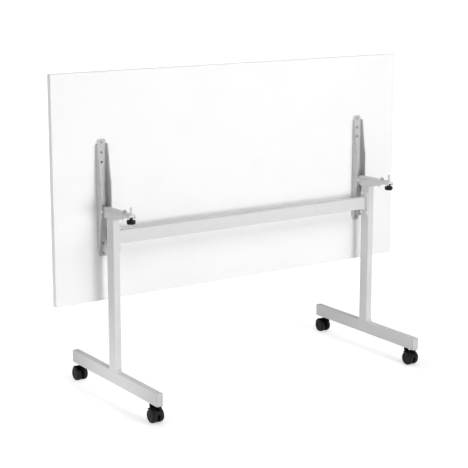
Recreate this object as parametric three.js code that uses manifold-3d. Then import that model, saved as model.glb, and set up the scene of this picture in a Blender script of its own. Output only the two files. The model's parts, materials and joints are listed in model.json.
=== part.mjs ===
// Flip top training table, in its stored position: the top stands upright behind the legs.
// Millimetres, +X along the table, +Y from the front towards the upright top, +Z up.
// The origin is on the floor, midway between the two legs.
import * as THREE from "three";
import { mergeVertices } from "three/addons/utils/BufferGeometryUtils.js";
import Module from "manifold-3d";

const wasm = await Module();
wasm.setup();

// Table top: a coated board with an edge band all round
const TOP_LENGTH = 1500;
const TOP_DEPTH = 800;
const TOP_THICKNESS = 22;
const TOP_LOWER_EDGE = 346;
const BAND_THICKNESS = 2;
const BAND_ROUNDING = 1.2;

// Legs: a foot bar and a column of the same rectangular tube, joined by a cross beam
const LEG_SPACING = 1127;
const TUBE_NARROW = 25;
const TUBE_WIDE = 46;
const TUBE_WALL = 2;
const TUBE_CORNER = 3;
const FOOT_LENGTH = 600;
const FOOT_BOTTOM = 62;
const COLUMN_TOP = 648;
const WELD_LEG = 7;
const CAP_HEAD = 3;
const CAP_PLUG = 13;
const CAP_ROUNDING = 1.2;
const BEAM_BOTTOM = 559;
const BEAM_FRONT = -3;
const FLANGE_HEIGHT = 96;
const FLANGE_DEPTH = 41;
const FLANGE_THICKNESS = 4;
const DRAIN_RADIUS = 6;

// Pivot of the top, and the bearer arm that carries it
const PIVOT_Y = 43;
const PIVOT_Z = 667;
const PIVOT_TO_UNDERSIDE = 31;
const PIVOT_RADIUS = 4;
const PIVOT_HEAD_RADIUS = 6.5;
const PIVOT_HEAD = 4;
const BOSS_RADIUS = 9;
const ARM_HEIGHT = 36;
const ARM_TAPER_END = -104;
const ARM_TAPER_RISE = 24;
const ARM_NOSE_END = -137;
const ARM_NOSE_HEIGHT = 13;
const NOSE_WALL = 2;
const NOSE_POCKET = 27;
const EYE_FROM = -20;
const HEEL_HEIGHT = 8;
const TAB_THICKNESS = 7;

// Folded bracket under the top, centred over the column when the top lies flat
const SHEET = 3;
const BRACKET_WIDTH = 41;
const BRACKET_TAB_WIDTH = 32;
const BRACKET_HALF_LENGTH = 206;
const WALL_HALF_LENGTH = 190;
const WALL_FULL_HALF_LENGTH = 65;
const WALL_HEIGHT = 34;
const WALL_EAR = 9.5;
const WALL_END_HEIGHT = 13.5;
const WALL_CORNER = 10;
const TAB_CORNER = 6;
const SCREW_OFFSETS = [195, 160, -160, -195];
const SCREW_HEAD_RADIUS = 5.5;
const SCREW_HEAD = 3.6;
const SCREW_RADIUS = 2.2;
const SCREW_DEPTH = 16;
const SCREW_POINT = 3;

// Lock screw at the front of each arm, and its socket in the top
const LOCK_REACH = 125;
const STUD_RADIUS = 4;
const STUD_TOP = 709;
const STUD_IN_KNOB = 14;
const WASHER_RADIUS = 8;
const WASHER_THICKNESS = 1.2;
const KNOB_HEIGHT = 23;
const KNOB_RADIUS = 14.7;
const KNOB_LOBE = 1.1;
const KNOB_LOBES = 5;
const KNOB_GRIP = 13;
const KNOB_ROUNDING = 0.9;
const KNOB_NECK_RADIUS = 6.8;
const KNOB_SHOULDER = 1.5;
const KNOB_SHOULDER_RADIUS = 9;
const SOCKET_RADIUS = 10.5;
const SOCKET_BORE = 7.5;
const SOCKET_DEPTH = 15;
const SOCKET_FLOOR = 1.5;

// Rubber stop on the arm, which carries the top when it lies flat
const STOP_REACH = 85;
const STOP_RADIUS = 7;
const STOP_SKIRT = 2;

// Twin wheel castors: the axle trails outwards from the stem
const STEM_REACH = 248;
const STEM_RADIUS = 4;
const STEM_TOP = 84;
const STEM_BOTTOM = 44;
const NUT_RADIUS = 7;
const NUT_HEIGHT = 6.5;
const TRAIL = 22;
const WHEEL_RADIUS = 25;
const WHEEL_INNER = 3.4;
const WHEEL_OUTER = 22.4;
const WHEEL_HUB = 8;
const CUP_RADIUS = 19.6;
const TREAD_ROUNDING = 2.4;
const SHOULDER = 7;
const AXLE_RADIUS = 3;
const AXLE_HALF_LENGTH = 18.6;
const BODY_HALF_WIDTH = 6.5;
const BODY_FROM = 12;
const BODY_TO = 165;
const BODY_UNDER_PEDAL = 17.5;
const AXLE_BOSS = 9;
const HOOD_INNER = 26.3;
const HOOD_OUTER = 28.8;
const HOOD_HALF_WIDTH = 19;
const HOOD_FROM = 84;
const HOOD_TO = 138;
const NECK_RADIUS = 9;
const NECK_FROM = 47;
const NECK_TOP = 61.4;
const PEDAL_HALF_WIDTH = 16;
const PEDAL_FROM = 80;
const PEDAL_TO = 16;
const PEDAL_UNDER = 26.4;
const PEDAL_THICKNESS = 2.4;
const PEDAL_LIFT = 1.2;
const PEDAL_LIP = 0.8;
const TONGUE_HALF_WIDTH = 8;
const TONGUE_TO = 43;
const NOTCH_TO = 41;
const HINGE_RADIUS = 27.8;
const HINGE_ANGLE = 74;
const TRUNNION_RADIUS = 1.4;
const TRUNNION_HALF_LENGTH = 18;
const CHEEK_RADIUS = 2.4;

// Clearance between pieces that turn in or pass through each other
const GAP = 0.3;

// Facets in each rounded corner of a tube, cap or tab
const CORNER_STEPS = 4;

// Heights and places that follow from the driving dimensions
const LEG_X = LEG_SPACING / 2;
const FOOT_TOP = FOOT_BOTTOM + TUBE_WIDE;
const BEAM_CENTRE = BEAM_BOTTOM + TUBE_WIDE / 2;
const UNDERSIDE = PIVOT_Y + PIVOT_TO_UNDERSIDE;
const TOP_FACE = UNDERSIDE + TOP_THICKNESS;
const WEB_FACE = UNDERSIDE - SHEET;
const BRACKET_CENTRE = PIVOT_Z + PIVOT_Y;
const ARM_TOP = COLUMN_TOP + ARM_HEIGHT;
const TAB_BOTTOM = ARM_TOP - TAB_THICKNESS;
const LOCK_Z = BRACKET_CENTRE + LOCK_REACH;
const FLAT_WEB = PIVOT_Z + WEB_FACE - PIVOT_Y;
const WASHER_TOP = TAB_BOTTOM - GAP;
const KNOB_TOP = WASHER_TOP - WASHER_THICKNESS - GAP;
const KNOB_BOTTOM = KNOB_TOP - KNOB_HEIGHT;

const FINISHES = {
  melamine: finish(0xf4f4f3, 0.45, 0),
  edging: finish(0xefefee, 0.4, 0),
  silver: finish(0xc6c7c8, 0.42, 0.35),
  capPlastic: finish(0xc2c3c4, 0.5, 0),
  steel: finish(0xb4b6b8, 0.3, 0.9),
  rubber: finish(0x8d8f91, 0.7, 0),
  blackPlastic: finish(0x131314, 0.45, 0),
  tread: finish(0x161617, 0.6, 0),
};

function finish(color, roughness, metalness) {
  return new THREE.MeshStandardMaterial({ color, roughness, metalness });
}

// A closed geometry as a solid that can be joined and cut
function solidOf(geometry) {
  const bare = geometry.index ? geometry.toNonIndexed() : geometry.clone();
  bare.deleteAttribute("normal");
  bare.deleteAttribute("uv");
  const merged = mergeVertices(bare, 1e-4);
  const corners = merged.index.array;
  const kept = [];
  for (let i = 0; i < corners.length; i += 3) {
    const [a, b, c] = corners.subarray(i, i + 3);
    if (a !== b && b !== c && c !== a) kept.push(a, b, c);
  }
  const vertProperties = merged.attributes.position.array;
  const triVerts = new Uint32Array(kept);
  return new wasm.Manifold(new wasm.Mesh({ numProp: 3, vertProperties, triVerts }));
}

function geometryOf(solid) {
  const { vertProperties, triVerts } = solid.getMesh();
  const geometry = new THREE.BufferGeometry();
  geometry.setAttribute("position", new THREE.BufferAttribute(vertProperties, 3));
  geometry.setIndex(new THREE.BufferAttribute(triVerts, 1));
  geometry.computeVertexNormals();
  return geometry;
}

function join(...geometries) {
  return geometryOf(geometries.map(solidOf).reduce((whole, piece) => whole.add(piece)));
}

function cut(geometry, ...tools) {
  const whole = solidOf(geometry);
  return geometryOf(tools.map(solidOf).reduce((rest, tool) => rest.subtract(tool), whole));
}

function block([x0, x1], [y0, y1], [z0, z1]) {
  const box = new THREE.BoxGeometry(x1 - x0, y1 - y0, z1 - z0);
  return box.translate((x0 + x1) / 2, (y0 + y1) / 2, (z0 + z1) / 2);
}

function shapeOf(outline) {
  return new THREE.Shape(outline.map(([a, b]) => new THREE.Vector2(a, b)));
}

function rectangle(width, height, centreA = 0, centreB = 0) {
  const a = width / 2;
  const b = height / 2;
  return [[-a, -b], [a, -b], [a, b], [-a, b]].map(([p, q]) => [centreA + p, centreB + q]);
}

function roundedRectangle(width, height, radius, centreA = 0, centreB = 0) {
  const a = width / 2 - radius;
  const b = height / 2 - radius;
  return [[a, b], [-a, b], [-a, -b], [a, -b]].flatMap(([p, q], quarter) => {
    return arc(centreA + p, centreB + q, radius, 90 * quarter, 90 * (quarter + 1), CORNER_STEPS);
  });
}

// Points along an arc, with angles in degrees and the radius running evenly between two values
function arc(centreA, centreB, radius, from, to, steps, lastRadius = radius) {
  return Array.from({ length: steps + 1 }, (_, i) => {
    const angle = THREE.MathUtils.degToRad(from + ((to - from) * i) / steps);
    const reach = radius + ((lastRadius - radius) * i) / steps;
    return [centreA + reach * Math.cos(angle), centreB + reach * Math.sin(angle)];
  });
}

function extruded(shape, length, rounding = 0) {
  return new THREE.ExtrudeGeometry(shape, {
    depth: length - 2 * rounding,
    bevelEnabled: rounding > 0,
    bevelThickness: rounding,
    bevelSize: rounding,
    bevelOffset: -rounding,
    bevelSegments: 2,
  }).translate(0, 0, rounding);
}

// A prism with its outline in Y and Z, running along X
function prismX(shape, [x0, x1]) {
  const turn = new THREE.Matrix4().makeBasis(
    new THREE.Vector3(0, 1, 0),
    new THREE.Vector3(0, 0, 1),
    new THREE.Vector3(1, 0, 0),
  );
  return extruded(shape, x1 - x0).applyMatrix4(turn).translate(x0, 0, 0);
}

// A prism with its outline in X and Z, running along Y
function prismY(shape, [y0, y1], rounding = 0) {
  return extruded(shape, y1 - y0, rounding).rotateX(Math.PI / 2).translate(0, y1, 0);
}

// A prism with its outline in X and Y, running along Z
function prismZ(shape, [z0, z1], rounding = 0) {
  return extruded(shape, z1 - z0, rounding).translate(0, 0, z0);
}

// A turned piece: the profile holds radius and distance along the axis, outside first to last
function turned(profile, axis, segments = 14) {
  const points = profile.map(([radius, along]) => new THREE.Vector2(radius, along));
  const lathe = new THREE.LatheGeometry(points, segments);
  if (axis === "x") lathe.rotateZ(-Math.PI / 2);
  if (axis === "z") lathe.rotateX(Math.PI / 2);
  return lathe;
}

function rod(radius, [from, to], axis, segments = 14) {
  return turned([[0, from], [radius, from], [radius, to], [0, to]], axis, segments);
}

// The section of a drawn tube, rounded at its corners inside and out
function tubeShape(width, height, centreA = 0, centreB = 0) {
  const shape = shapeOf(roundedRectangle(width, height, TUBE_CORNER, centreA, centreB));
  const bore = [width - 2 * TUBE_WALL, height - 2 * TUBE_WALL, TUBE_CORNER - TUBE_WALL];
  shape.holes.push(shapeOf(roundedRectangle(...bore, centreA, centreB)));
  return shape;
}

const table = new THREE.Group();

function place(name, geometry, material, parent = table) {
  const mesh = new THREE.Mesh(geometry, material);
  mesh.name = name;
  parent.add(mesh);
  return mesh;
}

// The board, with pilot holes for the bracket screws and pockets for the lock sockets
function board() {
  const halfLength = TOP_LENGTH / 2 - BAND_THICKNESS;
  const lower = TOP_LOWER_EDGE + BAND_THICKNESS;
  const upper = TOP_LOWER_EDGE + TOP_DEPTH - BAND_THICKNESS;
  const slab = block([-halfLength, halfLength], [UNDERSIDE, TOP_FACE], [lower, upper]);
  const tools = [];
  for (const side of [-1, 1]) {
    for (const offset of SCREW_OFFSETS) {
      const pilot = rod(SCREW_RADIUS + GAP, [WEB_FACE, UNDERSIDE + SCREW_DEPTH + GAP], "y", 8);
      tools.push(pilot.translate(side * LEG_X, 0, BRACKET_CENTRE + offset));
    }
    const pocket = rod(SOCKET_RADIUS + GAP, [WEB_FACE, UNDERSIDE + SOCKET_DEPTH + GAP], "y", 18);
    tools.push(pocket.translate(side * LEG_X, 0, LOCK_Z));
  }
  return cut(slab, ...tools);
}

function edgeBand() {
  const outline = shapeOf(rectangle(TOP_LENGTH, TOP_DEPTH, 0, TOP_LOWER_EDGE + TOP_DEPTH / 2));
  const halfLength = TOP_LENGTH / 2 - BAND_THICKNESS;
  const lower = TOP_LOWER_EDGE + BAND_THICKNESS;
  const upper = TOP_LOWER_EDGE + TOP_DEPTH - BAND_THICKNESS;
  const inside = block([-halfLength, halfLength], [UNDERSIDE - 1, TOP_FACE + 1], [lower, upper]);
  return cut(prismY(outline, [UNDERSIDE, TOP_FACE], BAND_ROUNDING), inside);
}

// A folded channel: a web screwed to the board by its end tabs, and two walls that hold the pivot
function bracket() {
  const half = BRACKET_WIDTH / 2;
  const sheetSpan = [WEB_FACE, UNDERSIDE];
  const holeSpan = [WEB_FACE - 1, UNDERSIDE + 1];
  const web = prismY(shapeOf(rectangle(BRACKET_WIDTH, 2 * WALL_HALF_LENGTH)), sheetSpan);
  const tabs = roundedRectangle(BRACKET_TAB_WIDTH, 2 * BRACKET_HALF_LENGTH, TAB_CORNER);
  const front = UNDERSIDE - WALL_HEIGHT;
  const endFront = UNDERSIDE - WALL_END_HEIGHT;
  const easing = WALL_CORNER / 2;
  const pivotZ = PIVOT_Z - BRACKET_CENTRE;
  const earAngle = THREE.MathUtils.radToDeg(Math.acos((front - PIVOT_Y) / WALL_EAR));
  const wall = shapeOf([
    [UNDERSIDE, -WALL_HALF_LENGTH],
    [endFront, -WALL_HALF_LENGTH],
    [front + easing, -WALL_FULL_HALF_LENGTH - WALL_CORNER],
    [front, -WALL_FULL_HALF_LENGTH + WALL_CORNER],
    ...arc(PIVOT_Y, pivotZ, WALL_EAR, 360 - earAngle, earAngle, 6),
    [front, WALL_FULL_HALF_LENGTH - WALL_CORNER],
    [front + easing, WALL_FULL_HALF_LENGTH + WALL_CORNER],
    [endFront, WALL_HALF_LENGTH],
    [UNDERSIDE, WALL_HALF_LENGTH],
  ]);
  const walls = [prismX(wall, [-half, SHEET - half]), prismX(wall, [half - SHEET, half])];
  const holes = SCREW_OFFSETS.map((offset) => {
    return rod(SCREW_RADIUS + GAP, holeSpan, "y", 8).translate(0, 0, offset);
  });
  holes.push(rod(SOCKET_BORE, holeSpan, "y", 18).translate(0, 0, LOCK_REACH));
  const pivotHole = rod(PIVOT_RADIUS + GAP, [-half - 1, half + 1], "x");
  holes.push(pivotHole.translate(0, PIVOT_Y, pivotZ));
  const folded = join(web, prismY(shapeOf(tabs), sheetSpan), ...walls);
  return cut(folded, ...holes).translate(0, 0, BRACKET_CENTRE);
}

function bracketScrew() {
  const profile = [
    [0, WEB_FACE - SCREW_HEAD],
    [SCREW_HEAD_RADIUS - 1, WEB_FACE - SCREW_HEAD],
    [SCREW_HEAD_RADIUS, WEB_FACE - SCREW_HEAD + 1],
    [SCREW_HEAD_RADIUS, WEB_FACE],
    [SCREW_RADIUS, WEB_FACE],
    [SCREW_RADIUS, UNDERSIDE + SCREW_DEPTH - SCREW_POINT],
    [0, UNDERSIDE + SCREW_DEPTH],
  ];
  return turned(profile, "y", 10);
}

function lockSocket() {
  const bottom = UNDERSIDE + SOCKET_DEPTH;
  const profile = [
    [0, bottom - SOCKET_FLOOR],
    [SOCKET_BORE, bottom - SOCKET_FLOOR],
    [SOCKET_BORE, UNDERSIDE],
    [SOCKET_RADIUS, UNDERSIDE],
    [SOCKET_RADIUS, bottom],
    [0, bottom],
  ];
  return turned(profile, "y", 18);
}

function foot() {
  const halfTube = FOOT_LENGTH / 2 - CAP_HEAD;
  const centre = FOOT_BOTTOM + TUBE_WIDE / 2;
  const tube = prismY(tubeShape(TUBE_NARROW, TUBE_WIDE, 0, centre), [-halfTube, halfTube]);
  const holes = [-1, 1].map((end) => {
    const hole = rod(STEM_RADIUS + GAP, [FOOT_BOTTOM - 1, FOOT_BOTTOM + TUBE_WALL + 1], "z", 12);
    return hole.translate(0, end * STEM_REACH, 0);
  });
  return cut(tube, ...holes);
}

// A plug cap for the back end of a foot
function endCap() {
  const centre = FOOT_BOTTOM + TUBE_WIDE / 2;
  const end = FOOT_LENGTH / 2;
  const head = prismY(
    shapeOf(roundedRectangle(TUBE_NARROW, TUBE_WIDE, TUBE_CORNER, 0, centre)),
    [end - CAP_HEAD, end],
    CAP_ROUNDING,
  );
  const inside = 2 * (TUBE_WALL + GAP);
  const plugSize = [TUBE_NARROW - inside, TUBE_WIDE - inside, TUBE_CORNER - TUBE_WALL];
  const plug = prismY(shapeOf(roundedRectangle(...plugSize, 0, centre)), [
    end - CAP_HEAD - CAP_PLUG,
    end - CAP_HEAD / 2,
  ]);
  return join(head, plug);
}

// The column, with the weld bead at its front and back foot
function column() {
  const tube = prismZ(tubeShape(TUBE_NARROW, TUBE_WIDE), [FOOT_TOP, COLUMN_TOP]);
  const half = TUBE_NARROW / 2;
  const beads = [-1, 1].map((end) => {
    const face = (end * TUBE_WIDE) / 2;
    const root = face - end;
    const outline = [
      [root, FOOT_TOP],
      [face + end * WELD_LEG, FOOT_TOP],
      [face, FOOT_TOP + WELD_LEG],
      [root, FOOT_TOP + WELD_LEG],
    ];
    return prismX(shapeOf(outline), [-half, half]);
  });
  return join(tube, ...beads);
}

// The beam between the legs, with its bolting flange welded on at each end
function crossBeam() {
  const inner = LEG_X - TUBE_NARROW / 2;
  const centreY = BEAM_FRONT + TUBE_NARROW / 2;
  const reach = inner - FLANGE_THICKNESS;
  const profile = tubeShape(TUBE_NARROW, TUBE_WIDE, centreY, BEAM_CENTRE);
  const tube = prismX(profile, [-reach - 1, reach + 1]);
  const zSpan = [BEAM_CENTRE - FLANGE_HEIGHT / 2, BEAM_CENTRE + FLANGE_HEIGHT / 2];
  const ySpan = [-FLANGE_DEPTH / 2, FLANGE_DEPTH / 2];
  const flanges = [block([-inner, -reach], ySpan, zSpan), block([reach, inner], ySpan, zSpan)];
  const drain = rod(DRAIN_RADIUS, [-inner - 1, inner + 1], "x", 10);
  return cut(join(tube, ...flanges), drain.translate(0, centreY, BEAM_CENTRE));
}

// The bearer arm: a heel to stop the upright top, a boss for the pivot, and a nose open below for the lock
function arm() {
  const half = TUBE_NARROW / 2;
  const round = ARM_HEIGHT / 2;
  const heel = WEB_FACE - GAP;
  const noseBottom = ARM_TOP - ARM_NOSE_HEIGHT;
  const outline = [
    [-TUBE_WIDE / 2, COLUMN_TOP],
    [heel, COLUMN_TOP],
    [heel, COLUMN_TOP + HEEL_HEIGHT],
    ...arc(PIVOT_Y, COLUMN_TOP + round, round, EYE_FROM, 90, 8),
    [ARM_NOSE_END, ARM_TOP],
    [ARM_NOSE_END, noseBottom],
    [ARM_TAPER_END, COLUMN_TOP + ARM_TAPER_RISE],
  ];
  const pocketSpan = [ARM_NOSE_END - 1, ARM_NOSE_END + NOSE_POCKET];
  const pocket = block([NOSE_WALL - half, half - NOSE_WALL], pocketSpan, [COLUMN_TOP, TAB_BOTTOM]);
  const bossHalf = BRACKET_WIDTH / 2 - SHEET - GAP;
  const boss = rod(BOSS_RADIUS, [-bossHalf, bossHalf], "x", 18).translate(0, PIVOT_Y, PIVOT_Z);
  const eye = rod(PIVOT_RADIUS + GAP, [-bossHalf - 1, bossHalf + 1], "x").translate(0, PIVOT_Y, PIVOT_Z);
  const studHole = rod(STUD_RADIUS + GAP, [TAB_BOTTOM - 1, ARM_TOP + 1], "z");
  const beam = prismX(shapeOf(outline), [-half, half]);
  return cut(join(beam, boss), eye, pocket, studHole.translate(0, -LOCK_REACH, 0));
}

// The pivot bolt with its domed head, and its cap nut of the same size
function pivotBolt() {
  const grip = BRACKET_WIDTH / 2 + GAP / 2;
  const half = [
    [PIVOT_RADIUS, grip],
    [PIVOT_HEAD_RADIUS, grip],
    [PIVOT_HEAD_RADIUS, grip + PIVOT_HEAD / 2],
    [PIVOT_HEAD_RADIUS - PIVOT_HEAD / 2, grip + PIVOT_HEAD],
    [0, grip + PIVOT_HEAD],
  ];
  const mirrored = half.map(([radius, along]) => [radius, -along]).reverse();
  return turned([...mirrored, ...half], "x").translate(0, PIVOT_Y, PIVOT_Z);
}

function bumpStop() {
  const height = FLAT_WEB - GAP - ARM_TOP;
  const profile = [
    [0, 0],
    [STOP_RADIUS, 0],
    [STOP_RADIUS, STOP_SKIRT],
    ...arc(0, STOP_SKIRT, STOP_RADIUS, 20, 90, 3).map(([radius, along]) => {
      return [radius, STOP_SKIRT + ((along - STOP_SKIRT) * (height - STOP_SKIRT)) / STOP_RADIUS];
    }),
  ];
  return turned(profile, "z", 12).translate(0, -STOP_REACH, ARM_TOP);
}

function lockStud() {
  const profile = [
    [0, KNOB_TOP - STUD_IN_KNOB],
    [STUD_RADIUS, KNOB_TOP - STUD_IN_KNOB],
    [STUD_RADIUS, STUD_TOP - 1],
    [STUD_RADIUS - 1, STUD_TOP],
    [0, STUD_TOP],
  ];
  return turned(profile, "z", 12).translate(0, -LOCK_REACH, 0);
}

function lockWasher() {
  const profile = [
    [STUD_RADIUS + GAP, WASHER_TOP - WASHER_THICKNESS],
    [WASHER_RADIUS, WASHER_TOP - WASHER_THICKNESS],
    [WASHER_RADIUS, WASHER_TOP],
    [STUD_RADIUS + GAP, WASHER_TOP],
    [STUD_RADIUS + GAP, WASHER_TOP - WASHER_THICKNESS],
  ];
  return turned(profile, "z").translate(0, -LOCK_REACH, 0);
}

// A star grip below a flared neck, moulded round the stud
function lockKnob() {
  const steps = 6 * KNOB_LOBES;
  const star = Array.from({ length: steps }, (_, i) => {
    const angle = (2 * Math.PI * i) / steps;
    const reach = KNOB_RADIUS + KNOB_LOBE * Math.cos(KNOB_LOBES * angle);
    return [reach * Math.sin(angle), -reach * Math.cos(angle)];
  });
  const grip = prismZ(shapeOf(star), [KNOB_BOTTOM, KNOB_BOTTOM + KNOB_GRIP], KNOB_ROUNDING);
  const neckRoot = KNOB_BOTTOM + KNOB_GRIP - 1;
  const neck = turned(
    [
      [0, neckRoot],
      [KNOB_SHOULDER_RADIUS, neckRoot],
      [KNOB_SHOULDER_RADIUS, KNOB_BOTTOM + KNOB_GRIP],
      [KNOB_NECK_RADIUS + 1, KNOB_BOTTOM + KNOB_GRIP + KNOB_SHOULDER],
      [KNOB_NECK_RADIUS, KNOB_TOP],
      [0, KNOB_TOP],
    ],
    "z",
    16,
  );
  const bore = rod(STUD_RADIUS + GAP, [KNOB_TOP - STUD_IN_KNOB - GAP, KNOB_TOP + 1], "z");
  return cut(join(grip, neck), bore).translate(0, -LOCK_REACH, 0);
}

// Castor pieces stand over the stem axis, with the axle trailing towards +Y
function aroundAxle(radius, from, to, steps, lastRadius) {
  return arc(TRAIL, WHEEL_RADIUS, radius, from, to, steps, lastRadius);
}

function hingeOfPedal() {
  return aroundAxle(HINGE_RADIUS, HINGE_ANGLE, HINGE_ANGLE, 1)[0];
}

function castorStem() {
  const nutFrom = FOOT_BOTTOM + TUBE_WALL + GAP;
  const profile = [
    [0, STEM_BOTTOM],
    [STEM_RADIUS, STEM_BOTTOM],
    [STEM_RADIUS, nutFrom],
    [NUT_RADIUS, nutFrom],
    [NUT_RADIUS, nutFrom + NUT_HEIGHT],
    [STEM_RADIUS, nutFrom + NUT_HEIGHT],
    [STEM_RADIUS, STEM_TOP],
    [0, STEM_TOP],
  ];
  return turned(profile, "z", 12);
}

// A strip of the hood between two angles
function hoodShape(from, to, steps) {
  return shapeOf([
    ...aroundAxle(HOOD_OUTER, from, to, steps),
    ...aroundAxle(HOOD_INNER, to, from, steps),
  ]);
}

// The room that a wheel's tread needs to turn in
function treadRing(side) {
  const inner = CUP_RADIUS - 2 * GAP;
  const outer = WHEEL_RADIUS + 2 * GAP;
  const edge = WHEEL_INNER - GAP;
  const profile = [[inner, edge], [outer, edge], [outer, WHEEL_OUTER], [inner, WHEEL_OUTER], [inner, edge]];
  const ring = turned(profile, "x", 22);
  if (side < 0) ring.rotateZ(Math.PI);
  return ring.translate(0, TRAIL, WHEEL_RADIUS);
}

// One moulding: a web between the wheels, a hood with a tongue, a neck for the stem and ears for the pedal
function castorBody() {
  const webShape = shapeOf([
    ...aroundAxle(BODY_UNDER_PEDAL, BODY_FROM, HOOD_FROM - 1, 5),
    ...aroundAxle(HOOD_OUTER - GAP, HOOD_FROM, BODY_TO, 7),
    [-BODY_HALF_WIDTH, WHEEL_RADIUS],
    ...aroundAxle(AXLE_BOSS, 215, 330, 4),
  ]);
  const web = prismX(webShape, [-BODY_HALF_WIDTH, BODY_HALF_WIDTH]);
  const hood = prismX(hoodShape(HOOD_FROM, HOOD_TO, 6), [-HOOD_HALF_WIDTH, HOOD_HALF_WIDTH]);
  const tongue = prismX(hoodShape(TONGUE_TO, HOOD_FROM + 1, 5), [-TONGUE_HALF_WIDTH, TONGUE_HALF_WIDTH]);
  const lowerNeck = rod(BODY_HALF_WIDTH, [WHEEL_RADIUS, NECK_FROM + 1], "z", 12);
  const neck = rod(NECK_RADIUS, [NECK_FROM, NECK_TOP], "z");
  const [hingeY, hingeZ] = hingeOfPedal();
  const earFrom = PEDAL_HALF_WIDTH + 2 * GAP;
  const ears = [[-HOOD_HALF_WIDTH, -earFrom], [earFrom, HOOD_HALF_WIDTH]].flatMap((span) => [
    prismX(hoodShape(HINGE_ANGLE, HOOD_FROM + 1, 1), span),
    rod(CHEEK_RADIUS, span, "x", 10).translate(0, hingeY, hingeZ),
  ]);
  const axleBore = rod(AXLE_RADIUS + GAP, [-BODY_HALF_WIDTH - 1, BODY_HALF_WIDTH + 1], "x", 12);
  const hingeEnd = TRUNNION_HALF_LENGTH + GAP;
  const hingeBores = [[-hingeEnd, -PEDAL_HALF_WIDTH], [PEDAL_HALF_WIDTH, hingeEnd]].map((span) => {
    return rod(TRUNNION_RADIUS + GAP, span, "x", 8).translate(0, hingeY, hingeZ);
  });
  const stemBore = rod(STEM_RADIUS + GAP, [STEM_BOTTOM - GAP, NECK_TOP + 1], "z", 12);
  return cut(
    join(web, hood, tongue, lowerNeck, neck, ...ears),
    axleBore.translate(0, TRAIL, WHEEL_RADIUS),
    ...hingeBores,
    stemBore,
    treadRing(-1),
    treadRing(1),
  );
}

function castorAxle() {
  const axle = rod(AXLE_RADIUS, [-AXLE_HALF_LENGTH, AXLE_HALF_LENGTH], "x", 12);
  return axle.translate(0, TRAIL, WHEEL_RADIUS);
}

// A cupped wheel with a rounded tread, a domed outer face and a blind bore for the axle
function wheel(side) {
  const bore = AXLE_RADIUS + GAP;
  const boreEnd = AXLE_HALF_LENGTH + GAP;
  const profile = [
    [0, boreEnd],
    [bore, boreEnd],
    [bore, WHEEL_HUB],
    [CUP_RADIUS, WHEEL_HUB],
    [CUP_RADIUS, WHEEL_INNER],
    [WHEEL_RADIUS - TREAD_ROUNDING, WHEEL_INNER],
    [WHEEL_RADIUS, WHEEL_INNER + TREAD_ROUNDING],
    [WHEEL_RADIUS, WHEEL_OUTER - SHOULDER],
    [WHEEL_RADIUS - SHOULDER / 6, WHEEL_OUTER - SHOULDER / 2],
    [WHEEL_RADIUS - SHOULDER / 2, WHEEL_OUTER - SHOULDER / 6],
    [WHEEL_RADIUS - SHOULDER, WHEEL_OUTER],
    [0, WHEEL_OUTER],
  ];
  const geometry = turned(profile, "x", 22);
  if (side < 0) geometry.rotateZ(Math.PI);
  return geometry.translate(0, TRAIL, WHEEL_RADIUS);
}

// A curved lever that carries on from the hood, forked round its tongue, and presses on the treads
function brakePedal() {
  const tipUnder = PEDAL_UNDER + PEDAL_LIFT;
  const tipOver = tipUnder + PEDAL_THICKNESS;
  const tip = tipOver + PEDAL_LIP;
  const outline = [
    ...aroundAxle(tipUnder, PEDAL_TO, PEDAL_FROM, 7, PEDAL_UNDER),
    ...aroundAxle(PEDAL_UNDER + PEDAL_THICKNESS, PEDAL_FROM, PEDAL_TO + 8, 7, tipOver),
    ...aroundAxle(tip, PEDAL_TO, PEDAL_TO, 1).slice(1),
  ];
  const lever = prismX(shapeOf(outline), [-PEDAL_HALF_WIDTH, PEDAL_HALF_WIDTH]);
  const [hingeY, hingeZ] = hingeOfPedal();
  const pin = rod(TRUNNION_RADIUS, [-TRUNNION_HALF_LENGTH, TRUNNION_HALF_LENGTH], "x", 8);
  const notchShape = shapeOf([
    ...aroundAxle(WHEEL_RADIUS, NOTCH_TO, HOOD_FROM, 5),
    ...aroundAxle(2 * WHEEL_RADIUS, HOOD_FROM, NOTCH_TO, 5),
  ]);
  const notchHalf = TONGUE_HALF_WIDTH + 2 * GAP;
  const notch = prismX(notchShape, [-notchHalf, notchHalf]);
  return cut(join(lever, pin.translate(0, hingeY, hingeZ)), notch);
}

place("table_top", board(), FINISHES.melamine);
place("edge_band", edgeBand(), FINISHES.edging);
place("cross_beam", crossBeam(), FINISHES.silver);

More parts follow.
